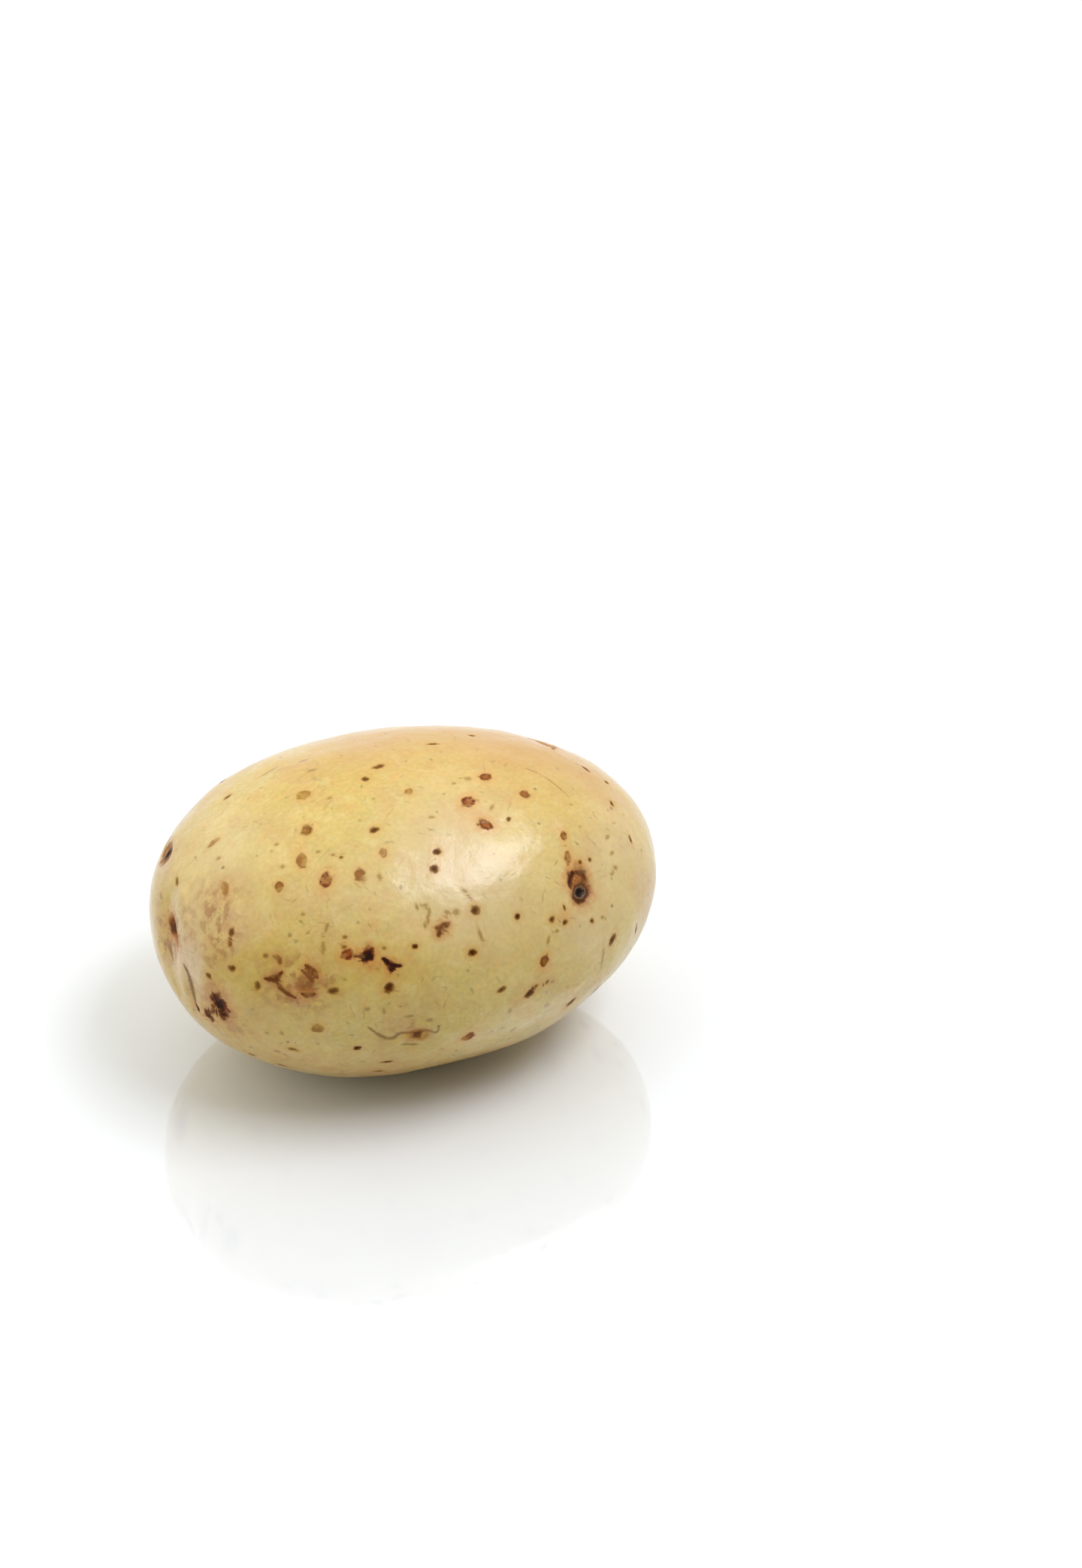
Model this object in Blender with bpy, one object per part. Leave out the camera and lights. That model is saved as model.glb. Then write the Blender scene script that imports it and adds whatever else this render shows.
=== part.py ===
"""Potato: one tuber that rests on a small flat spot.

The long axis runs along X, with the rose end (where most eyes sit) at -X and the heel end (where the
tuber hung on its stolon) at +X. Y is the width, with the front at -Y, and Z is up. The origin is the
middle of the tuber's box, on the surface that it rests on. Sizes are in metres.

Places on the tuber are given by two angles in degrees. "along" runs from -90 at the rose end to +90 at
the heel end. "around" turns about the long axis: 0 is the front, 90 the top, 180 the back, 270 below.
"""
import math

import bmesh
import bpy
from mathutils import Vector

# Overall sizes
LENGTH = 0.102
WIDTH = 0.078
HEIGHT = 0.062

# Body form
FULLNESS = 2.12  # along the length: 2 is an ellipse, more fills the shoulders
HEEL_NARROWING = 0.0015  # how much slimmer the heel half is than the rose half, each side
HEEL_LIFT = 0.0010  # how far the heel end curves up
HEEL_SWEEP = 0.0010  # how far the heel end curves to the back
REST_DEPTH = 0.0006  # how much of the round underside the flat spot takes away
SUBDIVISIONS = 5

# Broad swells and hollows: along, around, spread over the surface, height
SWELLS = [
    (-40, 300, 0.022, 0.0006),
    (35, 75, 0.024, 0.0010),
    (55, 320, 0.018, -0.0008),
    (-20, 170, 0.026, 0.0008),
    (40, 215, 0.020, -0.0006),
]

# Eyes: along, around, length across the tuber, depth
EYES = [
    (-72, 45, 0.012, 0.0011),
    (-55, 355, 0.008, 0.0006),
    (-34, 17, 0.012, 0.0005),
    (-8, 352, 0.012, 0.0005),
    (34, 35, 0.010, 0.0009),
    (-62, 125, 0.010, 0.0009),
    (-66, 265, 0.010, 0.0010),
    (-45, 190, 0.011, 0.0009),
    (-15, 235, 0.011, 0.0007),
    (2, 155, 0.012, 0.0008),
    (32, 290, 0.010, 0.0007),
    (40, 115, 0.010, 0.0007),
    (56, 210, 0.009, 0.0007),
]
EYE_PROPORTION = 0.6  # an eye's length along the tuber as a part of its length across
BROW_HEIGHT = 0.0003
BROW_OFFSET = 0.0035  # from the eye's middle towards the heel
BROW_WIDTH = 0.0022

# The heel scar, a small dimple where the stolon was
HEEL_SCAR_RADIUS = 0.0045
HEEL_SCAR_DEPTH = 0.0010

SKIN_COLOUR = (0.66, 0.48, 0.19, 1.0)
SKIN_ROUGHNESS = 0.4


def clear_scene():
    for thing in list(bpy.data.objects):
        bpy.data.objects.remove(thing, do_unlink=True)


def direction(along, around):
    """The unit vector that points to a place on the tuber."""
    lengthwise = math.radians(along)
    turn = math.radians(around)
    across = math.cos(lengthwise)
    return Vector((math.sin(lengthwise), -across * math.cos(turn), across * math.sin(turn)))


def body_point(way):
    """Takes a unit vector to the point of the plain body in that direction."""
    total = abs(way.x) ** FULLNESS + math.hypot(way.y, way.z) ** FULLNESS
    x, y, z = way * total ** (-1.0 / FULLNESS)
    slimmer = HEEL_NARROWING * x
    curve = max(x, 0.0) ** 2
    return Vector((
        x * LENGTH / 2,
        y * (WIDTH / 2 - slimmer) + HEEL_SWEEP * curve,
        z * (HEIGHT / 2 - slimmer) + HEEL_LIFT * curve,
    ))


def hill(distance, spread):
    """A smooth hill of height 1 that has died away at about twice its spread."""
    return math.exp(-((distance / spread) ** 2))


def swell(mesh):
    """Raises the broad swells and sinks the broad hollows."""
    for along, around, spread, height in SWELLS:
        middle = body_point(direction(along, around))
        for vert in mesh.verts:
            vert.co += vert.normal * height * hill((vert.co - middle).length, spread)


def surface_frame(mesh, along, around):
    """The middle of a place on the tuber, with its directions towards the heel and across the tuber."""
    aim = body_point(direction(along, around))
    vert = min(mesh.verts, key=lambda each: (each.co - aim).length)
    across = vert.normal.cross(Vector((1, 0, 0))).normalized()
    heelward = across.cross(vert.normal).normalized()
    return vert.co.copy(), heelward, across


def eye_relief(along, across, length, depth):
    """The height of an eye's surface over the body, at an offset along and across from its middle."""
    half = length / 2
    side = hill(across, half)
    dent = depth * hill(along, half * EYE_PROPORTION) * side
    brow = BROW_HEIGHT * hill(along - BROW_OFFSET, BROW_WIDTH) * side
    return brow - dent


def carve_eye(mesh, place, length, depth):
    """Sinks one eye and raises the brow on its heel side."""
    middle, heelward, across = place
    reach = 2 * length
    for vert in mesh.verts:
        offset = vert.co - middle
        if offset.length < reach:
            vert.co += vert.normal * eye_relief(offset.dot(heelward), offset.dot(across), length, depth)


def carve_eyes(mesh):
    places = [surface_frame(mesh, along, around) for along, around, length, depth in EYES]
    for place, (along, around, length, depth) in zip(places, EYES):
        carve_eye(mesh, place, length, depth)


def sink_heel_scar(mesh):
    middle = body_point(direction(90, 0))
    for vert in mesh.verts:
        vert.co.x -= HEEL_SCAR_DEPTH * hill((vert.co - middle).length, HEEL_SCAR_RADIUS)


def fit_to_size(mesh):
    """Brings the box to the overall sizes, centred on the Z axis, with the round underside just below zero."""
    wanted = Vector((LENGTH, WIDTH, HEIGHT + REST_DEPTH))
    lowest = Vector((-LENGTH / 2, -WIDTH / 2, -REST_DEPTH))
    for axis in range(3):
        low = min(vert.co[axis] for vert in mesh.verts)
        high = max(vert.co[axis] for vert in mesh.verts)
        stretch = wanted[axis] / (high - low)
        for vert in mesh.verts:
            vert.co[axis] = lowest[axis] + (vert.co[axis] - low) * stretch


def press_flat_spot(mesh):
    """Presses what would reach below the surface into one flat face."""
    for vert in mesh.verts:
        vert.co.z = max(vert.co.z, 0.0)


def skin_material():
    material = bpy.data.materials.new("potato_skin")
    material.use_nodes = True
    shader = material.node_tree.nodes["Principled BSDF"]
    shader.inputs["Base Color"].default_value = SKIN_COLOUR
    shader.inputs["Roughness"].default_value = SKIN_ROUGHNESS
    shader.inputs["Metallic"].default_value = 0.0
    return material


def potato():
    shape = bmesh.new()
    bmesh.ops.create_icosphere(shape, subdivisions=SUBDIVISIONS, radius=1.0)
    for vert in shape.verts:
        vert.co = body_point(vert.co.normalized())
    shape.normal_update()
    swell(shape)
    shape.normal_update()
    carve_eyes(shape)
    sink_heel_scar(shape)
    fit_to_size(shape)
    press_flat_spot(shape)
    mesh = bpy.data.meshes.new("potato")
    shape.to_mesh(mesh)
    shape.free()
    mesh.shade_smooth()
    mesh.materials.append(skin_material())
    thing = bpy.data.objects.new("potato", mesh)
    bpy.context.scene.collection.objects.link(thing)
    return thing


clear_scene()
potato()
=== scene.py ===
"""A whole potato, washed and still damp, on a pale glossy surface.

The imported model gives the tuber's form. This script lays a fine skin over it, works the relief of the eyes,
pores, scabs and creases into that skin, and colours it with one procedural material. Sizes are in metres.

Places on the tuber are given by two angles in degrees. "along" runs from -90 at the rose end (-X) to +90
at the heel end (+X). "around" turns about the long axis: 0 is the front, 90 the top, 180 the back, 270 below.
A mark's "turn" leans its long way from the tuber's length towards the next higher "around".
"""
import math

import bmesh
import bpy
import numpy as np
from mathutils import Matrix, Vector, noise
from mathutils.bvhtree import BVHTree


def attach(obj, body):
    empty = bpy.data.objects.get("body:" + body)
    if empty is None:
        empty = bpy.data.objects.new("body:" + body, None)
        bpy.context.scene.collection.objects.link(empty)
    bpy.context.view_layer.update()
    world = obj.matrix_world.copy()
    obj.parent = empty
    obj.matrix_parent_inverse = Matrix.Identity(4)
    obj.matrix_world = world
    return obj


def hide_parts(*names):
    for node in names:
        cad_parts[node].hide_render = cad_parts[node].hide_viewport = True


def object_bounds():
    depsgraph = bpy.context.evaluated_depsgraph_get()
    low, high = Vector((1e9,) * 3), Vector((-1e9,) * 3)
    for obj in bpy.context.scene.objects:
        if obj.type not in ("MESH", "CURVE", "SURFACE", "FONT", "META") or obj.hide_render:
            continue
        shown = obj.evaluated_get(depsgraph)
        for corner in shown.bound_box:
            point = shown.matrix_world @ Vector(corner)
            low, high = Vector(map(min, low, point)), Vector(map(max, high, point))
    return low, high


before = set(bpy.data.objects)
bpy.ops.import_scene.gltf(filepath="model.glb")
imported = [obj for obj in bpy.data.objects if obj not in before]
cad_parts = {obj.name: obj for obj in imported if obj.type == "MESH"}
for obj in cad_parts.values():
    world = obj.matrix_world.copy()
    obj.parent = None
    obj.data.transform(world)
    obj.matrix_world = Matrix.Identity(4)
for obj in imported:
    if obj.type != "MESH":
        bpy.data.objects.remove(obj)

CAD_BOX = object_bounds()
MIDDLE = (CAD_BOX[0] + CAD_BOX[1]) / 2
HALF_SIZE = (CAD_BOX[1] - CAD_BOX[0]) / 2

# Skin mesh
CAGE_SIDE = 32  # squares along each side of the cage
CAGE_SMOOTHING = 5
SKIN_LEVELS = 2

# Undulation of the skin: wavelength, height
UNDULATIONS = [
    (0.0160, 0.00045),
    (0.0060, 0.00014),
    (0.0024, 0.00005),
]

# Folds at the rose end: the places they run through, half width, height (grooves are below zero)
FOLDS = [
    ([(-69, 78), (-73, 52), (-77, 25), (-76, 350), (-70, 330)], 0.0036, -0.00060),
    ([(-62, 70), (-66, 42), (-68, 15), (-67, 348)], 0.0032, 0.00045),
    ([(-66, 18), (-64, 357), (-62, 330)], 0.0018, -0.00030),
    ([(-58, 30), (-58, 5), (-55, 345)], 0.0026, 0.00018),
]

# Eyes: along, around, half length across the tuber, half length along it, lean, depth, darkness
EYES = [
    (35, 36, 0.0034, 0.0023, 0, 0.00045, 1.0),
    (-72, 47, 0.0036, 0.0014, 0, 0.00050, 0.7),
    (-32, 15.5, 0.0021, 0.0022, 0, 0.00015, 0.58),
    (-8, 350, 0.0016, 0.0024, 0, 0.00015, 0.35),
    (-62, 125, 0.0040, 0.0024, 0, 0.00050, 0.8),
    (-66, 265, 0.0040, 0.0024, 20, 0.00050, 0.8),
    (-45, 190, 0.0044, 0.0026, -10, 0.00045, 0.9),
    (-15, 235, 0.0042, 0.0026, 10, 0.00035, 0.6),
    (2, 155, 0.0044, 0.0026, -10, 0.00040, 0.8),
    (32, 290, 0.0040, 0.0024, 10, 0.00035, 0.7),
    (40, 115, 0.0038, 0.0024, 0, 0.00035, 0.7),
    (56, 210, 0.0036, 0.0022, 0, 0.00035, 0.7),
]

# Buds that died back to small black pits inside eyes: along, around, radius, depth, strength
BUD_PITS = [
    (34.5, 32.5, 0.0013, 0.0006, 1.0),
    (-62, 123, 0.0010, 0.0005, 0.9),
    (-66, 262, 0.0009, 0.0005, 0.8),
    (-45.5, 187, 0.0011, 0.0006, 0.95),
    (1.5, 152, 0.0009, 0.0005, 0.7),
    (56, 208, 0.0007, 0.0004, 0.8),
]

# Pores with a darker rim: along, around, half length, half width, turn, strength, redness
PORES = [
    (-22.5, 87.5, 0.0014, 0.0012, 0, 0.60, 0.0),
    (-24.5, 72.5, 0.0012, 0.0011, 40, 0.95, 0.1),
    (-27.5, 62, 0.0015, 0.0010, 80, 0.80, 0.3),
    (-23.5, 53, 0.0015, 0.0011, 70, 1.00, 0.9),
    (-16, 52.5, 0.0013, 0.0010, 65, 0.80, 0.6),
    (-10, 58, 0.0010, 0.0007, 80, 0.60, 0.0),
    (-22, 26.5, 0.0012, 0.0010, 20, 1.20, 1.0),
    (-34, 54.5, 0.0010, 0.0008, 60, 0.90, 0.2),
    (-47.5, 60.5, 0.0014, 0.0008, 85, 0.60, 0.1),
    (-47, 86.5, 0.0014, 0.0006, 5, 0.65, 0.0),
    (11.5, 71.5, 0.0015, 0.0011, 40, 1.10, 0.9),
    (13.8, 62.5, 0.0015, 0.0011, 150, 1.15, 0.6),
    (17.5, 81, 0.0013, 0.0010, 10, 1.00, 0.6),
    (25, 72.5, 0.0011, 0.0010, 0, 0.90, 0.5),
    (32, 47, 0.0013, 0.0007, 75, 1.00, 0.2),
    (32, 55.5, 0.0010, 0.0007, 75, 0.95, 0.5),
    (22, 10.5, 0.0012, 0.0009, 60, 1.10, 0.3),
    (-30, 355, 0.0012, 0.0010, 0, 0.70, 0.1),
    (3.5, 344.5, 0.0013, 0.0010, 30, 0.85, 1.0),
    (-0.5, 78.5, 0.0009, 0.0008, 80, 0.70, 0.1),
]

# Solid corky specks: along, around, half length, half width, turn, strength
DOTS = [
    (-10.5, 66.5, 0.0009, 0.0007, 20, 0.95),
    (-8.5, 87.5, 0.0008, 0.0007, 0, 0.85),
    (-4.5, 92, 0.0013, 0.0006, 10, 0.85),
    (1.5, 55.5, 0.0008, 0.0007, 0, 1.0),
    (0, 50, 0.0009, 0.0008, 0, 1.0),
    (7, 34.5, 0.0010, 0.0009, 0, 0.95),
    (16.5, 29.5, 0.0006, 0.0006, 0, 1.1),
    (25, 25.5, 0.0007, 0.0006, 30, 1.0),
    (28.5, 23, 0.0006, 0.0005, 30, 0.95),
    (36.5, 19.5, 0.0005, 0.0005, 0, 0.9),
    (5, 20.5, 0.0008, 0.0007, 0, 1.25),
    (-7.5, 26, 0.0006, 0.0005, 0, 1.1),
    (43, 5, 0.0012, 0.0007, 50, 0.95),
    (11, 4, 0.0009, 0.0006, 20, 0.9),
    (18, 358, 0.0012, 0.0008, 40, 1.05),
    (30, 340.5, 0.0013, 0.0006, 40, 0.85),
    (-21, 344.5, 0.0007, 0.0006, 10, 1.2),
    (-14, 334, 0.0012, 0.0005, 10, 0.9),
    (-50, 21.5, 0.0009, 0.0006, 0, 0.9),
    (-57.5, 14.5, 0.0008, 0.0005, 140, 0.85),
    (-48.5, 39.5, 0.0009, 0.0006, 80, 0.75),
    (-49.5, 34, 0.0006, 0.0005, 80, 0.6),
    (-26, 13, 0.0010, 0.0007, 0, 0.85),
    (-43.5, 14, 0.0009, 0.0006, 80, 0.75),
    (-38.5, 109.5, 0.0010, 0.0006, 10, 0.65),
    (-62.5, 82, 0.0011, 0.0005, 80, 0.6),
    (-14, 12.5, 0.0011, 0.0009, 60, 1.15),
    (-40.5, 28, 0.0006, 0.0005, 0, 0.55),
    (36.5, 114.5, 0.0013, 0.0005, 150, 0.8),
    (47, 94.5, 0.0012, 0.0005, 130, 0.8),
    (53, 90, 0.0006, 0.0005, 0, 0.85),
    (51, 73, 0.0007, 0.0005, 100, 0.85),
    (20, 107.5, 0.0007, 0.0005, 0, 0.8),
    (9.5, 101, 0.0013, 0.0004, 0, 0.8),
    (39.5, 332, 0.0017, 0.0005, 60, 0.8),
    (-35, 340, 0.0011, 0.0005, 0, 0.55),
    (-43.5, 320.5, 0.0008, 0.0005, 0, 0.8),
    (-36, 319, 0.0011, 0.0005, 0, 0.8),
    (-15, 325, 0.0012, 0.0006, 0, 0.6),
    (8.5, 323, 0.0011, 0.0005, 0, 0.5),
    (-22, 32.5, 0.0005, 0.0004, 0, 0.6),
    (-22.5, 29, 0.0005, 0.0004, 0, 0.6),
    (-14, 27, 0.0005, 0.0004, 0, 0.6),
    (19.5, 0.5, 0.0006, 0.0004, 20, 0.6),
    (22.5, 0.5, 0.0006, 0.0004, 60, 0.6),
    (35.5, 44.5, 0.0005, 0.0004, 0, 0.8),
    (38.5, 45, 0.0004, 0.0004, 0, 0.8),
    (28.8, 28.5, 0.0006, 0.0003, 100, 0.8),
    (19.5, 63.5, 0.0006, 0.0004, 60, 0.8),
    (-19, 59.5, 0.0004, 0.0003, 0, 0.7),
    (55, 53, 0.0009, 0.0004, 100, 0.8),
    (55, 356, 0.0012, 0.0004, 70, 0.75),
]

# Faint olive flecks and scuffs: along, around, half length, half width, turn
FLECKS = [
    (-5.5, 39, 0.0007, 0.0003, 95),
    (-3.8, 39, 0.0006, 0.0003, 10),
    (-3, 37, 0.0007, 0.0003, 90),
    (-3.6, 34.5, 0.0008, 0.0003, 85),
    (-4.5, 32.5, 0.0005, 0.0003, 90),
    (0.8, 35.5, 0.0005, 0.0004, 0),
    (2.8, 35, 0.0006, 0.0005, 90),
    (6.5, 38.5, 0.0006, 0.0003, 130),
    (5.5, 41.5, 0.0006, 0.0003, 130),
    (7.3, 26, 0.0013, 0.0003, 100),
    (-25.5, 36.5, 0.0009, 0.0003, 60),
    (-27, 29.5, 0.0011, 0.0004, 85),
    (-34, 35.5, 0.0004, 0.0004, 0),
    (-30, 42.5, 0.0004, 0.0003, 0),
    (-12, 50.5, 0.0007, 0.0004, 90),
    (-8, 46, 0.0004, 0.0003, 90),
    (-47, 76.5, 0.0005, 0.0004, 0),
    (-32, 61.5, 0.0005, 0.0004, 0),
    (-32, 71, 0.0004, 0.0003, 0),
    (-23.5, 63.5, 0.0004, 0.0003, 0),
    (-20.5, 61, 0.0004, 0.0003, 0),
    (10, 79.5, 0.0004, 0.0003, 0),
    (13.5, 81, 0.0007, 0.0005, 0),
    (16.5, 68.5, 0.0008, 0.0003, 50),
    (2.5, 67.5, 0.0006, 0.0003, 0),
    (-17.5, 82.5, 0.0005, 0.0004, 0),
    (-18.5, 99, 0.0009, 0.0005, 0),
    (-19, 107.5, 0.0009, 0.0005, 0),
    (-27, 110.5, 0.0020, 0.0003, 10),
    (34, 77, 0.0028, 0.0002, 130),
    (29, 84, 0.0014, 0.0002, 150),
    (46, 46.5, 0.0006, 0.0003, 30),
    (46.5, 39.5, 0.0005, 0.0004, 0),
    (45, 37, 0.0004, 0.0003, 0),
    (45.5, 54, 0.0006, 0.0003, 40),
    (40, 19, 0.0004, 0.0003, 0),
    (23.5, 18, 0.0008, 0.0003, 70),
    (26, 20.5, 0.0004, 0.0003, 0),
    (24, 359.5, 0.0005, 0.0003, 0),
    (39.5, 358, 0.0022, 0.0003, 80),
    (13, 352.5, 0.0006, 0.0004, 80),
    (14.5, 339, 0.0006, 0.0004, 60),
    (11.5, 343.5, 0.0004, 0.0003, 0),
    (9, 343.5, 0.0004, 0.0003, 0),
    (23, 347, 0.0005, 0.0004, 0),
    (-19, 4.5, 0.0005, 0.0004, 0),
    (-15.5, 3, 0.0006, 0.0003, 90),
    (-10, 359.5, 0.0009, 0.0003, 0),
    (-5.5, 356.5, 0.0007, 0.0004, 0),
    (-38, 349.5, 0.0005, 0.0004, 90),
    (-41.5, 347.5, 0.0005, 0.0004, 0),
    (-38.5, 335, 0.0006, 0.0004, 0),
    (-72, 90, 0.0009, 0.0005, 90),
]

# Purple-black scabs: along, around, half length, half width, turn, strength
SCABS = [
    (-54.6, 356.5, 0.0022, 0.0016, 125, 1.0),
    (-53.2, 350, 0.0013, 0.0010, 110, 0.9),
    (-57.5, 341, 0.0013, 0.0009, 140, 0.8),
    (-56.5, 348, 0.0012, 0.0006, 60, 0.6),
    (-17.6, 25, 0.0013, 0.0009, 60, 1.1),
    (-8.3, 350, 0.0011, 0.0009, 20, 0.65),
    (-61.8, 337.5, 0.0007, 0.0005, 0, 0.9),
    (-31.6, 15.5, 0.0012, 0.0010, 0, 0.22),
]

# Scabs that run in lines: the places they run through, half width, strength
SCAB_LINES = [
    ([(-14.6, 23.5), (-13.1, 20.9), (-11, 20)], 0.00055, 1.05),
    ([(-13.1, 20.9), (-13.2, 18.6)], 0.00055, 1.0),
    ([(-20.6, 25.6), (-19.2, 25.0), (-17.6, 25)], 0.00034, 0.65),
    ([(-72.2, 58), (-73.2, 51), (-72.8, 45)], 0.00110, 0.62),
    ([(33, 41), (31.8, 38.7), (31.7, 35)], 0.00075, 0.9),
    ([(34.2, 41.2), (36.2, 39.2), (37.2, 36.4)], 0.00060, 0.55),
    ([(31.9, 31.5), (33.4, 29.6), (36.4, 29.8)], 0.00045, 0.8),
]

# Corky streaks: the places they run through, half width, strength
CORK_LINES = [
    ([(-2.2, 31.2), (-0.8, 31.0), (0.9, 32.0)], 0.00060, 1.05),
    ([(-0.9, 30.8), (-2.1, 28.2)], 0.00060, 1.05),
    ([(-41.4, 17.8), (-39.8, 17.6), (-38.4, 18.8), (-37.2, 20.8)], 0.00058, 1.12),
    ([(-38.6, 18.8), (-38.4, 15.2), (-37.0, 12.0), (-34.8, 9.6)], 0.00046, 1.00),
    ([(-31.6, 23.6), (-30.2, 21.8), (-29.2, 18.4)], 0.00048, 1.00),
    ([(-32.6, 21.6), (-31.0, 19.2), (-30.4, 16.8)], 0.00042, 0.85),
    ([(-33.4, 11.6), (-31.8, 10.8), (-30.2, 11.8)], 0.00046, 1.10),
    ([(-38.6, 27.8), (-37.4, 26.6), (-37.2, 24.4)], 0.00042, 0.80),
]

# Fine creases and cracks: the places they run through, half width, strength
CREASES = [
    ([(-67.5, 16), (-66, 8), (-64.7, 357), (-63.6, 345), (-62, 337)], 0.00048, 0.70),
    ([(-19, 356), (-16.8, 352), (-14, 349), (-11.7, 351.5), (-8.3, 350)], 0.00040, 0.62),
    ([(-8.3, 350), (-6, 351.5), (-4, 350), (-3.4, 353)], 0.00034, 0.6),
    ([(-11.7, 345), (-9.5, 344.5), (-7.7, 344.3)], 0.00034, 0.55),
    ([(-76.5, 32), (-77.8, 20), (-76, 5)], 0.00060, 0.5),
]

# Brown stains: along, around, spread, strength
STAINS = [
    (-80, 60, 0.0110, 0.40),
    (-60, 355, 0.0090, 0.30),
    (-51, 48, 0.0060, 0.75),
    (-52, 32, 0.0050, 0.55),
    (-51, 62, 0.0050, 0.30),
    (-36, 15, 0.0058, 0.95),
    (-30, 15, 0.0048, 0.95),
    (-55, 350, 0.0045, 0.60),
    (-49, 342, 0.0050, 0.50),
    (-72, 50, 0.0045, 0.80),
    (-77, 20, 0.0040, 0.90),
    (-9, 352, 0.0035, 0.60),
    (-14, 352, 0.0060, 0.25),
    (-45, 190, 0.0070, 0.60),
    (-15, 235, 0.0080, 0.50),
    (2, 155, 0.0060, 0.50),
    (-64, 265, 0.0070, 0.60),
    (56, 210, 0.0060, 0.50),
    (90, 0, 0.0070, 0.70),
]

# Paler patches, partly paler skin and partly painted sheen (across the front) and painted highlight (on the
# ridge at the rose end): along, around, spread, strength
PALE_AND_SHEEN_PATCHES = [
    # across the front: paler skin and painted sheen
    (4, 36, 0.0120, 0.45),
    (22, 24, 0.0110, 0.32),
    (-22, 44, 0.0120, 0.30),
    (6, 60, 0.0150, 0.55),
    (44, 38, 0.0110, 0.55),
    (36, 12, 0.0070, 0.40),
    # painted sheen and a painted highlight along the ridge beside the rose end's fold
    (-66, 40, 0.0070, 0.60),
    (-64, 22, 0.0032, 0.90),
    (-64, 8, 0.0032, 0.80),
    (-45, 80, 0.0120, 0.45),
    (55, 60, 0.0100, 0.35),
    (20, 190, 0.0160, 0.50),
    (-30, 250, 0.0140, 0.50),
    (60, 300, 0.0120, 0.40),
]

# Deep golden patches, partly golden skin and partly painted shade (over the top, along the underside and on
# the heel end's front): along, around, spread, strength
GOLDEN_AND_SHADE_PATCHES = [
    # painted shade over the top of the tuber
    (28, 104, 0.0160, 1.00),
    (-4, 114, 0.0150, 0.90),
    (50, 92, 0.0110, 0.60),
    # painted shade along the underside
    (-36, 328, 0.0080, 0.60),
    (-14, 320, 0.0095, 0.95),
    (10, 314, 0.0100, 0.80),
    (34, 318, 0.0090, 0.45),
    # painted shade on the front of the heel end
    (64, 10, 0.0075, 0.60),
    (-62, 322, 0.0100, 0.40),
    (-50, 150, 0.0140, 0.50),
    (25, 245, 0.0160, 0.60),
    (-20, 205, 0.0120, 0.40),
    (70, 340, 0.0080, 0.40),
]

# Orange blushes: along, around, spread, strength
BLUSHES = [
    (-20, 25, 0.0036, 0.75),
    (-14, 20, 0.0034, 0.75),
    (-15.3, 35, 0.0012, 0.60),
    (-33, 77, 0.0012, 0.60),
    (-34.5, 61.5, 0.0012, 0.50),
    (-24, 55, 0.0040, 0.40),
    (-15.5, 10.5, 0.0013, 0.70),
    (-7, 16, 0.0020, 0.40),
    (-9.5, 23, 0.0020, 0.40),
    (-1.5, 30, 0.0026, 0.55),
    (33.5, 45, 0.0013, 0.80),
    (35, 36, 0.0042, 0.50),
    (28.5, 25.5, 0.0022, 0.55),
    (16, 356, 0.0028, 0.60),
    (20, 0, 0.0022, 0.45),
    (21, 6, 0.0024, 0.35),
    (28, 337, 0.0024, 0.60),
    (-51, 318, 0.0028, 0.60),
    (-38, 27, 0.0022, 0.55),
    (-25, 327, 0.0026, 0.50),
    (4, 345, 0.0032, 0.45),
    (12, 66, 0.0038, 0.35),
    (-63, 345, 0.0030, 0.50),
    (30, 150, 0.0080, 0.50),
    (-25, 130, 0.0070, 0.35),
    (10, 240, 0.0080, 0.50),
    (-40, 230, 0.0070, 0.45),
    (50, 270, 0.0060, 0.45),
]

# Scattered marks, on the sides where the tables above place none of their own
SCATTER_SEED = 11
SCATTERED_PORES = 26
SCATTERED_DOTS = 60
SCATTERED_FLECKS = 90

PORE_GAP = 0.0060  # a scattered pore's least distance from the nearest mark
DOT_GAP = 0.0038
FLECK_GAP = 0.0020
TABLED_SIDE = 0.15  # cosine of the angle from the camera's side up to which only the tables place marks

# Relief of the marks, for a mark of strength 1
EYE_WALL = 0.9  # where an eye's wall stands, in eye sizes
EYE_WALL_STEEPNESS = 6
EYE_LIP = 0.45  # the height of an eye's lip as a part of its depth
EYE_LIP_PLACE = 1.25
EYE_LIP_WIDTH = 0.28
BUD_PIT_PROPORTION = 0.85  # how much narrower a bud pit is than long
PORE_RIM_HEIGHT = 0.00008
PORE_MIDDLE_DEPTH = 0.00012
DOT_DEPTH = 0.00010
SCAB_DEPTH = 0.00020
SCAB_LINE_DEPTH = 0.00014
STREAK_HEIGHT = 0.00006
CREASE_DEPTH = 0.00018

# Line marks
PATH_PIECES = 4  # straight pieces between two stops
LINE_END_WIDTH = 0.45  # the width at the ends as a part of the stated width
LINE_BULGE = 0.7  # how much wider the line is halfway
OUT_OF_REACH = 99.0  # an offset, in mark sizes, at which no line mark is felt
NO_MARK = 9.0  # the same, for any mark

# The heel scar
HEEL_SCAR = (90, 0)
HEEL_SCAR_RADIUS = 0.0030
HEEL_STUB_HEIGHT = 0.0006
HEEL_RING_DEPTH = 0.0005
HEEL_WRINKLES = 7
HEEL_WRINKLE_DEPTH = 0.00025
HEEL_SCAB_SHARE = 1.6  # the scar's radius over the radius of the scab in it
HEEL_SCAB_STRENGTH = 0.75

REST_SINK = 0.0002  # how far the skin presses into its flat spot

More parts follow.
